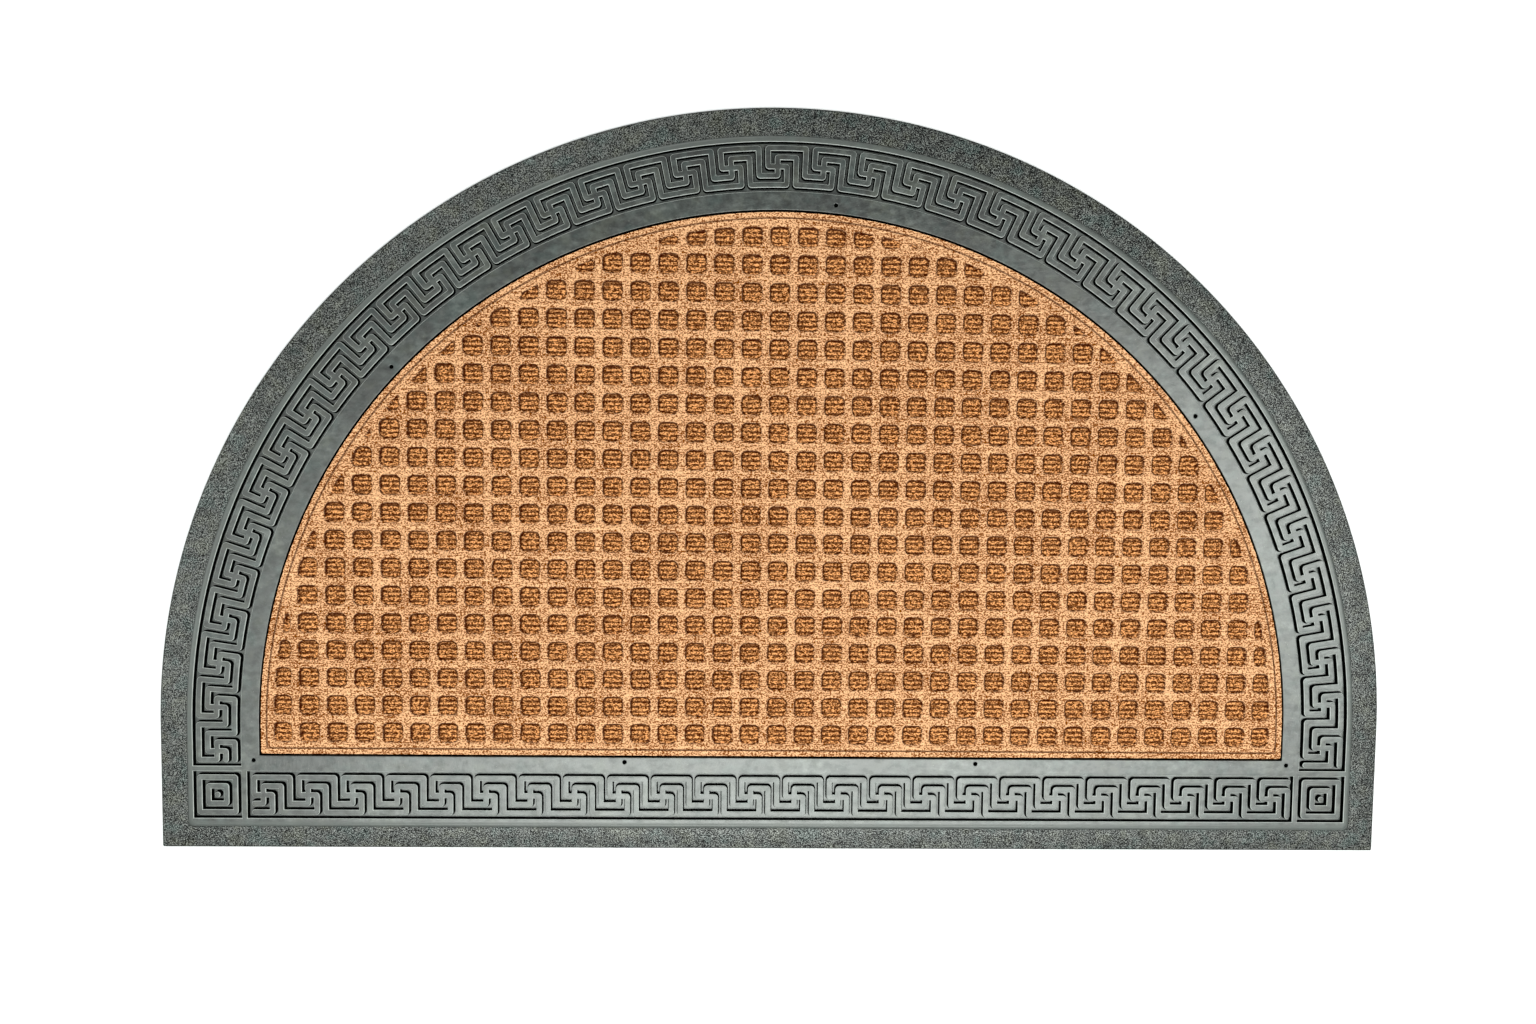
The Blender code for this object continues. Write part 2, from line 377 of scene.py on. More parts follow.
margin = {
    "recessRadius": 314.0 * mm,
    "recessInset": 58.0 * mm,
    "recessCorner": 0.6 * mm,
    "recessSpacing": 3 * mm,  # of the outline's points
    "ventRadius": 1.2 * mm,
    "ventLineRadius": 318.7 * mm,
    "ventInset": 55.0 * mm,
    "ventX": (-317.6 * mm, -92.9 * mm, 122.9 * mm, 316.8 * mm),
    "ventDegrees": (37.6, 84.3, 136.9),
}


def marginLoops():
    steps = stepsFor(margin["recessRadius"], margin["recessSpacing"])
    edgeY = mat["edgeY"] + margin["recessInset"]
    recess = halfMoon(margin["recessRadius"], edgeY, margin["recessCorner"], steps)
    loops = [recess.tolist()]
    for x in margin["ventX"]:
        loops.append(circle(x, mat["edgeY"] + margin["ventInset"], margin["ventRadius"]))
    for degrees in margin["ventDegrees"]:
        turn = math.radians(degrees)
        radius = margin["ventLineRadius"]
        centre = (radius * math.cos(turn), mat["arcY"] + radius * math.sin(turn))
        loops.append(circle(*centre, margin["ventRadius"]))
    return loops


# Tray

apron = {
    "edgeTop": 2.0 * mm,
    "edgeRound": 0.5 * mm,
    "edgeSteps": 3,
    "edgeGrain": 0.3,  # share of the grain that the rounded edge has
    "edgeCorner": 1.0 * mm,
    "cornerSteps": 5,
    "bulge": 0.25 * mm,  # the slope is a little full
    "rimFoot": 4.7 * mm,  # where the apron meets the rim's shoulder
    "spacing": 1.3 * mm,  # of the relief's points
    "rings": 14,
    "shoulder": 2.0 * mm,  # the rim's rounded outer edge
    "shoulderSteps": 4,
    "crest": 2.8 * mm,  # how far the rim's top runs in from its foot
    "overlap": 0.1 * mm,  # of the lofted tray and the raised rubber
    "grainSize": 2.0 * mm,
    "grainWidth": 0.6,  # of a pebble's slopes, in grain sizes
    "grainDepth": 0.16 * mm,
    "grainFade": 6,  # how fast the grain dies out toward the rim
    "waveSize": 22 * mm,
    "waveDepth": 0.12 * mm,
}


# The apron's fine relief: pebbled grain on slow waves
def apronRelief(x, y):
    place = Vector((x, y, 0)) / apron["grainSize"]
    nearest = noise.voronoi(place)[0]
    grain = nearest[1] - nearest[0]
    wave = noise.noise(Vector((x, y, 0)) / apron["waveSize"])
    pebble = min(grain, apron["grainWidth"]) / apron["grainWidth"] - 0.5
    return apron["grainDepth"] * pebble + apron["waveDepth"] * wave


def buildTray():
    steps = stepsFor(mat["radius"], apron["spacing"], apron["cornerSteps"])
    outer = halfMoon(mat["radius"], mat["edgeY"], apron["edgeCorner"], steps)
    rimY = mat["edgeY"] + border["rimInset"]
    rim = halfMoon(border["rimRadius"], rimY, border["rimCorner"], steps)
    width = mat["radius"] - border["rimRadius"]
    rings = []

    def addRing(inset, height, relief=0.0):
        share = inset / width
        ring = outer * (1 - share) + rim * share
        heights = np.full(len(ring), height)
        if relief:
            heights += relief * np.array([apronRelief(x, y) for x, y in ring])
        rings.append(np.column_stack([ring, heights]))

    addRing(0.0, 0.0)
    rounding = apron["edgeRound"]
    for step in range(apron["edgeSteps"] + 1):
        share = step / apron["edgeSteps"]
        turn = math.pi / 2 * share
        height = apron["edgeTop"] - rounding * (1 - math.sin(turn))
        addRing(rounding * (1 - math.cos(turn)), height, apron["edgeGrain"] * share)
    for ring in range(1, apron["rings"] + 1):
        share = ring / apron["rings"]
        inset = rounding + (width - rounding) * share
        height = apron["edgeTop"] + (apron["rimFoot"] - apron["edgeTop"]) * share
        height += apron["bulge"] * math.sin(math.pi * share)
        addRing(inset, height, min(1.0, apron["grainFade"] * (1 - share)))
    shoulder = apron["shoulder"]
    for step in range(1, apron["shoulderSteps"] + 1):
        turn = math.pi / 2 * step / apron["shoulderSteps"]
        rise = (mat["top"] - apron["rimFoot"]) * math.sin(turn)
        addRing(width + shoulder * (1 - math.cos(turn)), apron["rimFoot"] + rise)
    addRing(width + apron["crest"], mat["top"])
    addRing(width + apron["crest"] + apron["overlap"], border["floor"])
    tray = loft("mouldedTray", rings)
    print("Apron made, faces", len(tray.data.polygons))

    rimSteps = stepsFor(border["rimRadius"], border["rimSpacing"], border["rimCornerSteps"])
    inset = shoulder + apron["overlap"]
    corner = border["rimCorner"] - inset
    rimLoop = halfMoon(border["rimRadius"] - inset, rimY + inset, corner, rimSteps)
    loops = [rimLoop.tolist()] + borderLoops()
    footTop = border["floor"] + border["footHeight"]
    foot = curveSolid("bandFeet", loops, border["root"], footTop, widen=border["footWidth"])
    combine(tray, foot, "UNION")
    loops += marginLoops()
    raised = curveSolid(
        "raisedRubber", loops, border["root"], mat["top"], border["edgeRound"], border["roundSteps"]
    )
    combine(tray, raised, "UNION")
    return tray


# Carpet

carpet = {
    "radius": carpetHigh.x,
    "edgeY": carpetLow.y,
    "corner": 1.2 * mm,
    "top": carpetHigh.z,
    "underside": carpetLow.z,
    "cell": 12.4 * mm,
    "cellCorner": 3.5 * mm,
    "cellBlend": 2.5 * mm,  # how far a cell is rounded where the arc cuts it
    "pitchX": 16.66 * mm,
    "pitchY": 16.74 * mm,
    "firstRowInset": 72.7 * mm,
    "lean": 0.0045,  # each row lies a little further right than the row above it
    "middleInset": 79.4 * mm,
    "limitRadius": 305 * mm,
    "limitInset": 65 * mm,
    "centreReach": 309.2 * mm,
    "cellDepth": 1.9 * mm,
    "cellWall": (-1.3 * mm, 0.35 * mm),  # from the cell's edge, where its soft wall ends and starts
    "lines": (0.0, 2.0, 4.0, 5.1, 5.9, 6.7),  # mesh lines from a cell's middle, in mm
    "pileDrop": 0.1 * mm,  # of the pile's mean height under the top
    "ribPitch": 2.9 * mm,
    "ribHeight": 0.05 * mm,
    "ribInCell": 0.10 * mm,  # how much higher the ribs are in a cell
    "tuftSize": 1.3 * mm,
    "tuftHeight": 0.16 * mm,
    "overhang": 2 * mm,  # of the mesh before it is cut out
    "cutSpacing": 1.2 * mm,
    "cutRoughness": 0.25 * mm,
    "cutRoughSize": 2.5 * mm,
    "line": 3.5 * mm,  # the pressed line inside the edge
    "lineHalf": 0.4 * mm,
    "lineCorner": 4.5 * mm,
    "lineCornerSteps": 6,
    "lineDepth": 0.8 * mm,
    "lineSpacing": 4 * mm,
}


# Signed distance to the pressed cells, in metres, negative inside one
def cellDistance(x, y):
    inset = y - mat["edgeY"]
    shift = carpet["lean"] * (carpet["middleInset"] - inset)
    middleX = np.round((x - shift) / carpet["pitchX"]) * carpet["pitchX"] + shift
    row = np.round((inset - carpet["firstRowInset"]) / carpet["pitchY"])
    middleY = mat["edgeY"] + carpet["firstRowInset"] + row * carpet["pitchY"]
    half = carpet["cell"] / 2 - carpet["cellCorner"]
    sideX = np.abs(x - middleX) - half
    sideY = np.abs(y - middleY) - half
    corner = np.hypot(np.maximum(sideX, 0), np.maximum(sideY, 0))
    square = corner + np.minimum(np.maximum(sideX, sideY), 0) - carpet["cellCorner"]
    limit = np.maximum(
        np.hypot(x, np.maximum(y - mat["arcY"], 0)) - carpet["limitRadius"],
        carpet["limitInset"] - inset,
    )
    reach = np.hypot(middleX, np.maximum(middleY - mat["arcY"], 0))
    far = np.where(reach > carpet["centreReach"], 1.0, 0.0)
    blend = carpet["cellBlend"]
    overlap = np.maximum(blend - np.abs(square - limit), 0) / blend
    return np.maximum(square, limit) + overlap * overlap * blend / 4 + far


def smooth(value, low, high):
    share = np.clip((value - low) / (high - low), 0, 1)
    return share * share * (3 - 2 * share)


def latticeLines(low, high, pitch, phase):
    offsets = sorted({sign * value * mm for value in carpet["lines"] for sign in (-1, 1)})
    places = []
    first = math.floor((low - phase) / pitch) - 1
    last = math.ceil((high - phase) / pitch) + 1
    for cell in range(first, last + 1):
        middle = phase + cell * pitch
        places += [middle + offset for offset in offsets]
        places.append(middle + pitch / 2)
    return np.array([place for place in places if low < place < high])


def carpetHeight(x, y):
    pressed = 1 - smooth(cellDistance(x, y), *carpet["cellWall"])
    height = carpet["top"] - carpet["pileDrop"] - carpet["cellDepth"] * pressed
    rib = np.cos(2 * math.pi * y / carpet["ribPitch"])
    height += (carpet["ribHeight"] + carpet["ribInCell"] * pressed) * rib
    tufts = np.array([
        noise.noise(Vector((a, b, 0)) / carpet["tuftSize"])
        for a, b in zip(x.ravel(), y.ravel())
    ])
    return height + carpet["tuftHeight"] * tufts.reshape(x.shape)


def buildCarpet():
    reach = carpet["overhang"]
    xs = latticeLines(-carpet["radius"] - reach, carpet["radius"] + reach, carpet["pitchX"], 0.0)
    phase = mat["edgeY"] + carpet["firstRowInset"]
    arcTop = mat["arcY"] + carpet["radius"]
    ys = latticeLines(carpet["edgeY"] - reach, arcTop + reach, carpet["pitchY"], phase)
    x, y = np.meshgrid(xs, ys)
    x = x + carpet["lean"] * (carpet["middleInset"] + mat["edgeY"] - y)
    height = carpetHeight(x, y)
    wide, deep = len(xs), len(ys)
    top = np.column_stack([x.ravel(), y.ravel(), height.ravel()])
    inside = np.hypot(x, np.maximum(y - mat["arcY"], 0)) < carpet["radius"] + 2 * reach
    shape = bmesh.new()
    vertices = [shape.verts.new(point) for point in top.tolist()]
    for row in range(deep - 1):
        for column in range(wide - 1):
            if not inside[row:row + 2, column:column + 2].any():
                continue
            start = row * wide + column
            corners = (start, start + 1, start + 1 + wide, start + wide)
            shape.faces.new([vertices[corner] for corner in corners])
    loose = [vertex for vertex in shape.verts if not vertex.link_faces]
    bmesh.ops.delete(shape, geom=loose, context="VERTS")
    rimEdges = [edge for edge in shape.edges if edge.is_boundary]
    walls = bmesh.ops.extrude_edge_only(shape, edges=rimEdges)["geom"]
    for vertex in walls:
        if isinstance(vertex, bmesh.types.BMVert):
            vertex.co.z = carpet["underside"]
    lowEdges = [edge for edge in shape.edges if edge.is_boundary]
    bmesh.ops.contextual_create(shape, geom=lowEdges)
    bmesh.ops.recalc_face_normals(shape, faces=shape.faces)
    mesh = bpy.data.meshes.new("carpetInlay")
    shape.to_mesh(mesh)
    shape.free()
    inlay = newObject("carpetInlay", mesh)
    print("Carpet relief made, faces", len(mesh.polygons))

    # Cut out with a slightly uneven edge
    steps = stepsFor(carpet["radius"], carpet["cutSpacing"])
    outline = halfMoon(carpet["radius"], carpet["edgeY"], carpet["corner"], steps)
    rough = []
    for px, py in outline:
        shift = carpet["cutRoughness"] * noise.noise(Vector((px, py, 0)) / carpet["cutRoughSize"])
        rough.append((px * (1 + shift / carpet["radius"]), py + shift * 0.5))
    cutter = curveSolid("carpetCut", [rough], carpet["underside"] - mm, carpet["top"] + mm)
    combine(inlay, cutter, "INTERSECT")

    line = []
    for side in (-carpet["lineHalf"], carpet["lineHalf"]):
        inset = carpet["line"] + side
        corner = carpet["lineCorner"] - side
        steps = stepsFor(carpet["radius"], carpet["lineSpacing"], carpet["lineCornerSteps"])
        outline = halfMoon(carpet["radius"] - inset, carpet["edgeY"] + inset, corner, steps)
        line.append(outline.tolist())
    lineFloor = carpet["top"] - carpet["lineDepth"]
    groove = curveSolid("pressedLine", line, lineFloor, carpet["top"] + mm)
    combine(inlay, groove, "DIFFERENCE")
    return inlay


# Shader maths

# A value in a material: + - * / between values and numbers add Math nodes
class Field:
    def __init__(self, finish, socket):
        self.finish = finish
        self.socket = socket

    def calc(self, operation, *others):
        return self.finish.calc(operation, self, *others)

    def __add__(self, other):
        return self.calc("ADD", other)

    def __radd__(self, other):
        return self.calc("ADD", other)

    def __sub__(self, other):
        return self.calc("SUBTRACT", other)

    def __rsub__(self, other):
        return self.finish.calc("SUBTRACT", other, self)

    def __mul__(self, other):
        return self.calc("MULTIPLY", other)

    def __rmul__(self, other):
        return self.calc("MULTIPLY", other)

    def __truediv__(self, other):
        return self.calc("DIVIDE", other)

    def low(self, other):
        return self.calc("MINIMUM", other)

    def high(self, other):
        return self.calc("MAXIMUM", other)

    def size(self):
        return self.calc("ABSOLUTE")

    # 0 below one value, 1 above another, smooth between them
    def rise(self, start, end):
        settings = {"interpolation_type": "SMOOTHSTEP"}
        sockets = {"Value": self, "From Min": start, "From Max": end}
        return self.finish.node("ShaderNodeMapRange", settings, sockets)

    # 1 in a strip that one rise starts and another ends
    def between(self, start, end):
        return self.rise(*start) * (1 - self.rise(*end))


class Finish:
    def __init__(self, name):
        self.material = bpy.data.materials.new(name)
        self.material.use_nodes = True
        self.tree = self.material.node_tree
        self.shader = self.tree.nodes["Principled BSDF"]

    # Any node: its settings are set first, then its sockets are given values or links
    def node(self, kind, settings=None, sockets=None, output=0):
        made = self.tree.nodes.new(kind)
        for key, value in (settings or {}).items():
            setattr(made, key, value)
        for key, value in (sockets or {}).items():
            self.join(made.inputs[key], value)
        return Field(self, made.outputs[output])

    def join(self, socket, value):
        if isinstance(value, Field):
            self.tree.links.new(value.socket, socket)
        elif hasattr(value, "__len__") and socket.type == "RGBA":
            socket.default_value = (*value, 1)
        else:
            socket.default_value = value

    def calc(self, operation, *operands):
        sockets = dict(enumerate(operands))
        return self.node("ShaderNodeMath", {"operation": operation}, sockets)

    def mix(self, share, first, second, blend="MIX"):
        settings = {"data_type": "RGBA", "blend_type": blend}
        return self.node("ShaderNodeMix", settings, {0: share, 6: first, 7: second}, output=2)

    def vector(self, operation, *operands):
        sockets = dict(enumerate(operands))
        return self.node("ShaderNodeVectorMath", {"operation": operation}, sockets)

    # Places on the object in millimetres
    def places(self):
        spot = self.node("ShaderNodeTexCoord", output="Object")
        return self.vector("MULTIPLY", spot, (1 / mm, 1 / mm, 1 / mm))

    def parts(self, vector):
        split = self.node("ShaderNodeSeparateXYZ", sockets={0: vector})
        outputs = split.socket.node.outputs
        return [Field(self, outputs[axis]) for axis in "XYZ"]

    # Noise with features of about that size in millimetres, 0 to 1
    def noise(self, vector, size, detail=2.0, roughness=0.5):
        sockets = {"Vector": vector, "Scale": 1 / size, "Detail": detail, "Roughness": roughness}
        return self.node("ShaderNodeTexNoise", None, sockets)

    def cells(self, vector, size):
        sockets = {"Vector": vector, "Scale": 1 / size}
        return self.node("ShaderNodeTexVoronoi", {"feature": "F1"}, sockets, output="Distance")

    def stretched(self, vector, x, y):
        return self.vector("MULTIPLY", vector, (1 / x, 1 / y, 1))

    def bump(self, height, distance):
        sockets = {"Height": height, "Distance": distance, "Strength": 1.0}
        return self.node("ShaderNodeBump", None, sockets)

    def root(self, value):
        return self.calc("SQRT", value)

    # Lets a second, plain matt shader show through where share is 1
    def overlay(self, share, colour):
        matt = self.node("ShaderNodeBsdfDiffuse", None, {"Color": colour})
        sockets = {0: share, 1: Field(self, self.shader.outputs[0]), 2: matt}
        both = self.node("ShaderNodeMixShader", None, sockets)
        self.join(self.tree.nodes["Material Output"].inputs["Surface"], both)

    # Signed distance in millimetres to a half-moon, negative inside
    def halfMoonDistance(self, x, y, radius, edgeY):
        above = (y - mat["arcY"] / mm).high(0)
        arc = self.root(x * x + above * above) - radius / mm
        return arc.high(edgeY / mm - y)

    def give(self, **values):
        for name, value in values.items():
            self.join(self.shader.inputs[name.replace("_", " ")], value)
        return self.material


rubberLook = {
    "deep": (0.003, 0.0055, 0.0045),
    "pale": (0.026, 0.036, 0.031),
    "olive": (0.034, 0.034, 0.016),
    "teal": (0.004, 0.026, 0.024),
    "dust": (0.22, 0.23, 0.20),
    "wornHighlight": (0.600, 0.635, 0.610),
    "shadow": (0.0015, 0.0020, 0.0018),
    "rim": (0.150, 0.162, 0.155),
    "grainDark": (0.008, 0.010, 0.009),
    "grainPale": (0.172, 0.182, 0.170),
    "index": 1.6,
    "specular": 1.0,
    "coat": 0.7,
    "coatRoughness": 0.40,
    "smoothest": 0.26,  # roughness where the rubber shines most
    "mottling": 0.26,  # how much rougher it gets
    "relief": 0.25 * mm,
    # Sizes of the marks in mm
    "cloudSize": 45,
    "mottleSize": 4,
    "speckSize": 0.8,
    "smearSize": 3,
    "scuffSize": 5,
    "fineSize": 0.65,
    "patchSize": 8,
    "stainSize": 11,
    "pebbleSize": 1.3,
    "skinSize": 0.9,
    "unevenSize": 9,
    # From where a mark starts to where it is full, on noise from 0 to 1
    "paleFrom": (0.40, 0.62),
    "handledFrom": (0.40, 0.62),
    "speckFrom": (0.74, 0.78),
    "scuffFrom": (0.50, 0.70),
    "dullTo": (0.36, 0.54),
    "grainFrom": (0.545, 0.61),
    "pitShadeTo": (0.42, 0.54),
    "oliveFrom": (0.50, 0.70),
    "tealTo": (0.30, 0.48),
    # How strong a mark is where it is full
    "speckShare": 0.6,
    "scuffShare": 0.10,
    "dullShare": 0.17,
    "pitShadeShare": 0.9,
    "edgeShadeShare": 0.8,
    "rimShare": 0.5,
    # Strips by distance outward from the rim's foot, in mm
    "apronFrom": (-0.2, 0.6),
    "rimFrom": (-3.5, -3.1),
    "bands": ((-35.0, -34.5), (-3.0, -2.6)),
    # Strips by height above the floor, in mm
    "rimHeight": (4.4, 4.9),
    "thinEdgeShade": (1.85, 2.15),
    "wornHighlightHeights": ((5.60, 5.80), (5.92, 5.98)),
    "wallShadeHeights": ((3.02, 3.05), (5.4, 5.6)),
}


def rubberFinish():
    look = rubberLook
    finish = Finish("moulded_rubber")
    spot = finish.places()
    x, y, z = finish.parts(spot)
    rimY = mat["edgeY"] + border["rimInset"]
    rim = finish.halfMoonDistance(x, y, border["rimRadius"], rimY)
    onApron = rim.rise(*look["apronFrom"])
    offApron = 1 - onApron

    cloud = finish.noise(spot, look["cloudSize"], detail=4)
    mottle = finish.noise(spot, look["mottleSize"], detail=4, roughness=0.6)
    speck = finish.noise(spot, look["speckSize"], detail=1).rise(*look["speckFrom"])
    smear = finish.noise(finish.stretched(spot, 3, 1), look["smearSize"], detail=3)
    paler = (cloud * 0.5 + mottle * 0.5).rise(*look["paleFrom"])
    flat = finish.mix(paler, look["deep"], look["pale"])

    fine = finish.noise(spot, look["fineSize"], detail=1.5, roughness=0.6)
    patch = finish.noise(spot, look["patchSize"], detail=3)
    grain = fine + patch * 0.10 - 0.05
    rough = finish.mix(grain.rise(*look["grainFrom"]), look["grainDark"], look["grainPale"])
    # The rounded edges of the bands are paler, partly wear and partly a painted highlight; the flat
    # rubber is scuffed with the same colour
    wornHighlight = z.between(*look["wornHighlightHeights"]) * rim.between(*look["bands"])
    scuff = finish.noise(
        finish.stretched(spot, 1.3, 1), look["scuffSize"], detail=5, roughness=0.62
    )
    handled = cloud.rise(*look["handledFrom"]) * look["scuffShare"]
    scuffed = scuff.rise(*look["scuffFrom"]) * handled
    flat = finish.mix(wornHighlight.high(scuffed), flat, look["wornHighlight"])
    colour = finish.mix(onApron, flat, rough)
    # Faint stains, stronger on the apron
    stain = finish.noise(spot, look["stainSize"], detail=2)
    stained = onApron * 0.5 + 0.4
    olive = stain.rise(*look["oliveFrom"]) * stained
    teal = (1 - stain.rise(*look["tealTo"])) * stained
    colour = finish.mix(olive, colour, look["olive"], "ADD")
    colour = finish.mix(teal, colour, look["teal"], "ADD")
    colour = finish.mix(speck * look["speckShare"], colour, look["dust"])

    pebbles = finish.cells(spot, look["pebbleSize"])
    uneven = finish.noise(spot, look["unevenSize"], detail=2)
    skin = finish.noise(spot, look["skinSize"], detail=3) * 0.25 + uneven * 1.2 + smear * 0.4
    height = (grain * 1.2 - pebbles * 0.5) * onApron + skin * offApron
    roughness = look["smoothest"] + mottle * look["mottling"] - onApron * 0.03
    # Painted shade: groove walls with the band feet, the pits of the grain and the thin outer edge
    # get a near-black matt shader with no gloss; the rim gets little gloss
    onRim = rim.rise(*look["rimFrom"]) * offApron * z.rise(*look["rimHeight"])
    wallShade = z.between(*look["wallShadeHeights"]) * offApron * (1 - onRim)
    # Painted shade in the pits of the apron's grain
    pitShade = (1 - grain.rise(*look["pitShadeTo"])) * onApron * look["pitShadeShare"]
    # Painted shade along the apron's thin outer edge
    edge = (1 - z.rise(*look["thinEdgeShade"])) * onApron * look["edgeShadeShare"]
    dull = (1 - scuff.rise(*look["dullTo"])) * offApron * look["dullShare"]
    matt = finish.mix(onRim, look["shadow"], look["rim"])
    finish.overlay(dull.high(wallShade + onRim * look["rimShare"]) + pitShade.high(edge), matt)
    return finish.give(
        Base_Color=colour,
        Roughness=roughness,
        IOR=look["index"],
        Specular_IOR_Level=look["specular"],
        Coat_Weight=look["coat"] * (1 - onApron * 0.3),
        Coat_Roughness=look["coatRoughness"],
        Normal=finish.bump(height, look["relief"]),
    )


carpetLook = {
    "pale": (0.950, 0.530, 0.285),
    "brown": (0.20, 0.050, 0.004),
    "floorPale": (0.92, 0.410, 0.155),
    "floorBrown": (0.13, 0.030, 0.002),
    "dark": (0.036, 0.003, 0.0001),
    "roughness": 0.95,
    "relief": 0.6 * mm,
    # Sizes of the marks in mm
    "wobbleSize": 1.2,
    "fibreSize": 0.85,
    "tuftSize": 1.6,
    "cloudSize": 25,
    "dashSize": 1.2,
    "streakSize": 1.0,
    "edgeWobble": 1.3,  # how uneven a cell's edge is, in mm
    # Strips by distance outward from a cell's edge, in mm
    "pressedTo": (-1.0, 0.2),
    "cellWall": ((-1.7, -0.7), (-0.3, 0.4)),
    "upperShadeFrom": (-6.0, 6.0),  # from a cell's middle
    "lineShadeTo": (0.3, 0.8),  # from the pressed line
    # From where a mark starts to where it is full, on noise from 0 to 1
    "ribFrom": (0.25, 0.60),
    "dashFrom": (0.40, 0.47),
    "shadeFrom": (0.45, 0.54),
    "floorFrom": (0.44, 0.56),
    "cellWallShadeFrom": (0.40, 0.50),
    # How strong a mark is where it is full
    "ribOnTop": 0.20,
    "ribInCell": 0.85,
    "cellWallShadeShare": 0.9,
    "lineShadeShare": 0.6,
}


# Distance to the pressed cells in millimetres, as in the mesh, and a cell's own middle
def cellField(finish, x, y):
    pitchX, pitchY = carpet["pitchX"] / mm, carpet["pitchY"] / mm
    first = (mat["edgeY"] + carpet["firstRowInset"]) / mm
    shift = ((mat["edgeY"] + carpet["middleInset"]) / mm - y) * carpet["lean"]
    middleX = ((x - shift) / pitchX).calc("ROUND") * pitchX + shift
    middleY = ((y - first) / pitchY).calc("ROUND") * pitchY + first
    half = (carpet["cell"] / 2 - carpet["cellCorner"]) / mm
    sideX = (x - middleX).size() - half
    sideY = (y - middleY).size() - half
    cornerX, cornerY = sideX.high(0), sideY.high(0)
    square = finish.root(cornerX * cornerX + cornerY * cornerY) + sideX.high(sideY).low(0)
    square = square - carpet["cellCorner"] / mm
    limitY = mat["edgeY"] + carpet["limitInset"]
    limit = finish.halfMoonDistance(x, y, carpet["limitRadius"], limitY)
    above = (middleY - mat["arcY"] / mm).high(0)
    reach = finish.root(middleX * middleX + above * above)
    far = reach.calc("GREATER_THAN", carpet["centreReach"] / mm) * 100
    blend = carpet["cellBlend"] / mm
    overlap = (blend - (square - limit).size()).high(0) / blend
    return square.high(limit) + overlap * overlap * (blend / 4) + far, middleX, middleY


def carpetFinish():
    look = carpetLook
    finish = Finish("ribbed_carpet")
    spot = finish.places()
    x, y = finish.parts(spot)[:2]
    wobble = finish.noise(spot, look["wobbleSize"], detail=3, roughness=0.6) - 0.5
    cell, middleX, middleY = cellField(finish, x, y)
    cell = cell + wobble * look["edgeWobble"]
    pressed = 1 - cell.rise(*look["pressedTo"])
    wallShade = cell.between(*look["cellWall"])

    fibreSpot = finish.stretched(spot, 1.3, 0.9)
    fibre = finish.noise(fibreSpot, look["fibreSize"], detail=2, roughness=0.6)
    tuft = finish.noise(spot, look["tuftSize"], detail=2, roughness=0.6)
    cloud = finish.noise(spot, look["cloudSize"], detail=3)
    wave = y * (2 * math.pi * mm / carpet["ribPitch"]) + wobble * 2.5
    ribs = wave.calc("COSINE") * 0.5 + 0.5
    dash = finish.noise(finish.stretched(spot, 2.2, 0.9), look["dashSize"], detail=2)
    ribDark = ribs.rise(*look["ribFrom"]) * dash.rise(*look["dashFrom"])

    streak = finish.noise(finish.stretched(spot, 7, 0.9), look["streakSize"], detail=1)
    shade = fibre * 0.60 + tuft * 0.15 + streak * 0.15 + cloud * 0.10
    top = finish.mix(shade.rise(*look["shadeFrom"]), look["brown"], look["pale"])
    top = finish.mix(ribDark * look["ribOnTop"], top, look["floorBrown"])
    shade = fibre * 0.7 + tuft * 0.3
    floor = finish.mix(shade.rise(*look["floorFrom"]), look["floorBrown"], look["floorPale"])
    floor = finish.mix(ribDark * look["ribInCell"], floor, look["dark"])
    colour = finish.mix(pressed, top, floor)
    # Painted shade along the cells' walls, darkest at their upper and left edges
    upperShade = (y - middleY + (middleX - x) * 0.5).rise(*look["upperShadeFrom"])
    cellWallShade = wallShade * (dash + upperShade * 0.25 - 0.1).rise(*look["cellWallShadeFrom"])
    colour = finish.mix(cellWallShade * look["cellWallShadeShare"], colour, look["dark"])

    # Painted shade along the pressed line's groove
    edge = finish.halfMoonDistance(x, y, carpet["radius"], carpet["edgeY"])
    fromLine = (edge + carpet["line"] / mm + wobble * 0.5).size()
    line = 1 - fromLine.rise(*look["lineShadeTo"])
    colour = finish.mix(line * look["lineShadeShare"], colour, look["dark"])

    height = fibre * 0.9 + tuft * 0.6 + ribs * 0.35
    return finish.give(
        Base_Color=colour,
        Roughness=look["roughness"],
        Specular_IOR_Level=0.0,
        Normal=finish.bump(height, look["relief"]),
    )


# Stage, light and camera

# Photo camera: lens on a 36 mm wide frame, place and turn in the mat's own frame
photoCamera = {
    "lens": 26.504,
    "sensor": 36,
    "clipStart": 0.01,
    "place": (-0.02335, 0.02435, 0.68968),
    "turnDegrees": (-3.405, -1.342, 0.683),
}

studio = {
    "floorReach": 6,  # metres from the middle to each side
    "floorColours": ((0.92, 0.91, 0.94), (0.94, 0.93, 0.96)),
    "floorCloud": 60,
    # Each soft light: its middle, width and depth, brightness and the spot that it faces.
    # The brightness is its watts over its area and pi.
    "lamps": {
        "overFront": {
            "place": (0.04, -0.74, 1.44),
            "size": (1.55, 1.20),
            "radiance": 4.9,
            "aim": (0.04, -0.74, 0),
        },
        "overRight": {
            "place": (1.15, -0.05, 1.44),
            "size": (0.7, 0.9),
            "radiance": 6.0,
            "aim": (0, 0, 0),
        },
        "left": {
            "place": (-1.9, -0.2, 1.2),
            "size": (0.8, 1.4),
            "radiance": 2.6,
            "aim": (0, 0, 0),
        },
        "lowBack": {
            "place": (-1.3, 2.2, 1.1),
            "size": (3.0, 1.6),
            "radiance": 2.0,
            "aim": (0, 0, 0),
        },
    },
    "tint": (0.945, 1.0, 0.945),
    "sky": 0.17,
}


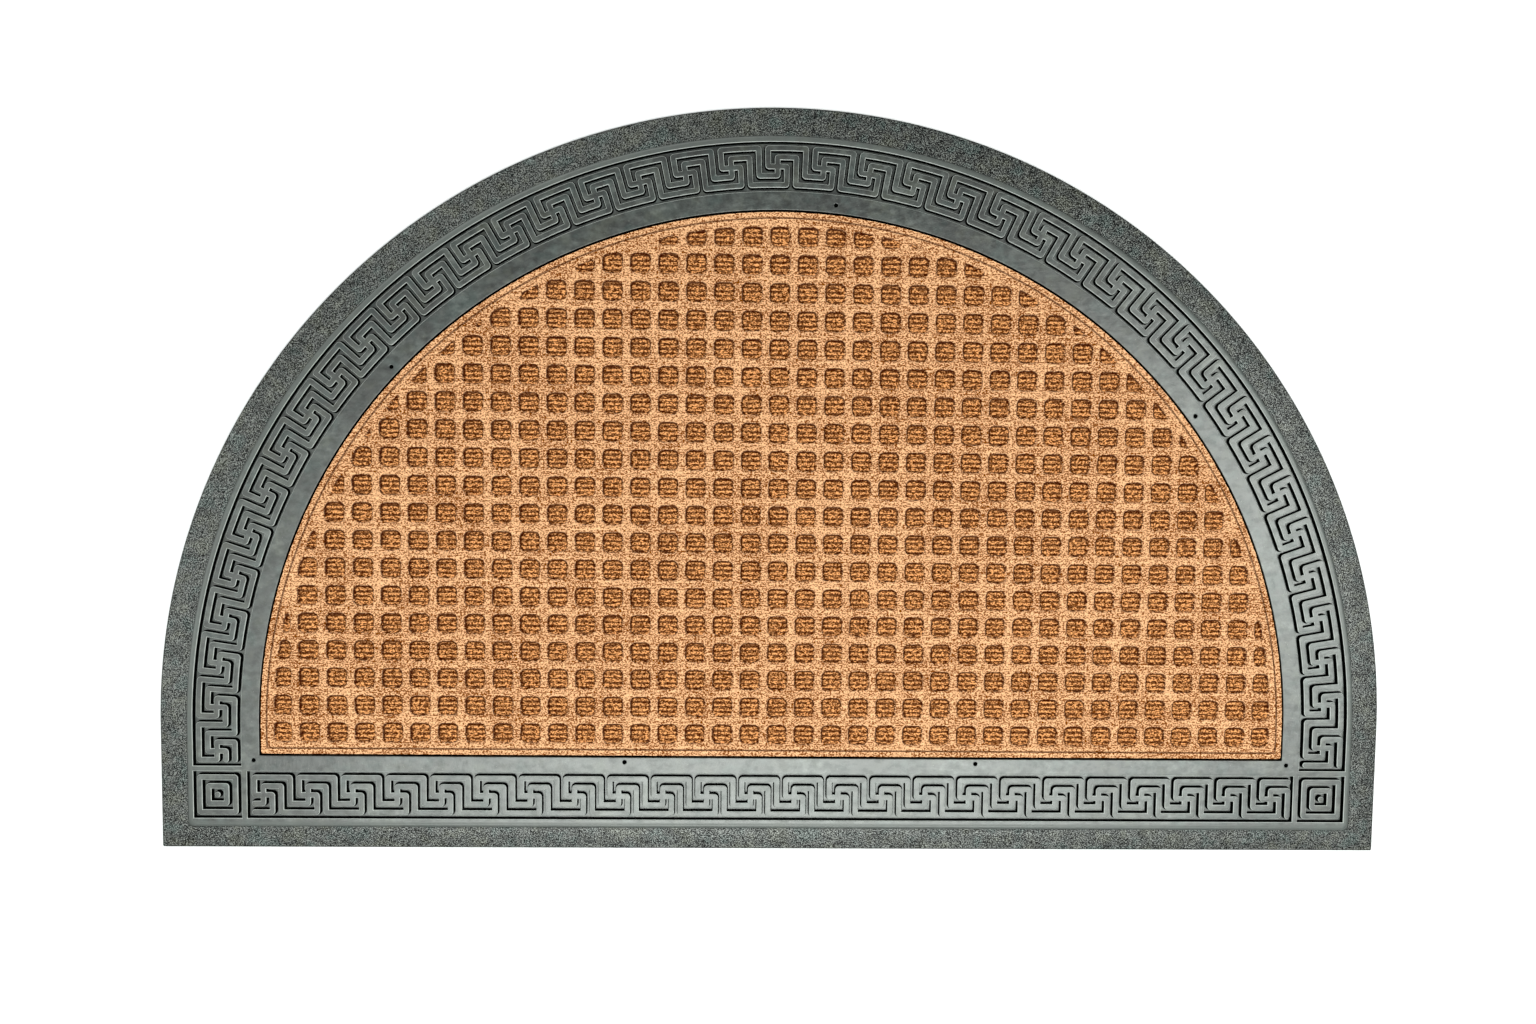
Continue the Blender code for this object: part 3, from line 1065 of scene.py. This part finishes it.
def buildFloor():
    mesh = bpy.data.meshes.new("floor")
    shape = bmesh.new()
    bmesh.ops.create_grid(shape, x_segments=1, y_segments=1, size=studio["floorReach"])
    shape.to_mesh(mesh)
    shape.free()
    floor = newObject("floor", mesh)
    finish = Finish("pale_floor")
    cloud = finish.noise(finish.places(), studio["floorCloud"], detail=3)
    colour = finish.mix(cloud, *studio["floorColours"])
    paleFloor = finish.give(Base_Color=colour, Roughness=0.9, Specular_IOR_Level=0.1)
    floor.data.materials.append(paleFloor)


def buildLights():
    for name, facts in studio["lamps"].items():
        light = bpy.data.lights.new(name, "AREA")
        light.shape = "RECTANGLE"
        light.color = studio["tint"]
        light.size, light.size_y = facts["size"]
        light.energy = facts["radiance"] * math.pi * facts["size"][0] * facts["size"][1]
        lamp = bpy.data.objects.new(name, light)
        bpy.context.scene.collection.objects.link(lamp)
        lamp.location = facts["place"]
        lamp.rotation_mode = "QUATERNION"
        toward = Vector(facts["aim"]) - Vector(facts["place"])
        lamp.rotation_quaternion = toward.to_track_quat("-Z", "Y")
    world = bpy.data.worlds.new("studioWorld")
    bpy.context.scene.world = world
    world.use_nodes = True
    world.node_tree.nodes["Background"].inputs["Color"].default_value = (1, 1, 1, 1)
    world.node_tree.nodes["Background"].inputs["Strength"].default_value = studio["sky"]


def buildCamera():
    lens = bpy.data.cameras.new("photoCamera")
    lens.lens = photoCamera["lens"]
    lens.sensor_width = photoCamera["sensor"]
    lens.clip_start = photoCamera["clipStart"]
    camera = bpy.data.objects.new("photoCamera", lens)
    bpy.context.scene.collection.objects.link(camera)
    camera.location = photoCamera["place"]
    camera.rotation_euler = [math.radians(degrees) for degrees in photoCamera["turnDegrees"]]
    bpy.context.scene.camera = camera
    bpy.context.scene.view_settings.view_transform = "Standard"


# Soft shading, with edges sharper than that angle kept
def smoothFaces(thing, degrees):
    thing.data.shade_smooth()
    thing.data.set_sharp_from_angle(angle=math.radians(degrees))
    weighted = thing.modifiers.new("weighted", "WEIGHTED_NORMAL")
    weighted.keep_sharp = True


buildCamera()
buildLights()
buildFloor()
print("Camera, lights and floor are set")

tray = buildTray()
smoothFaces(tray, 40)
tray.data.materials.clear()
tray.data.materials.append(rubberFinish())
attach(tray, "root")
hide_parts("rubber_base")
print("Tray made")

inlay = buildCarpet()
smoothFaces(inlay, 60)
inlay.data.materials.clear()
inlay.data.materials.append(carpetFinish())
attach(inlay, "root")
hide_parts("carpet_inlay")
print("Carpet made")
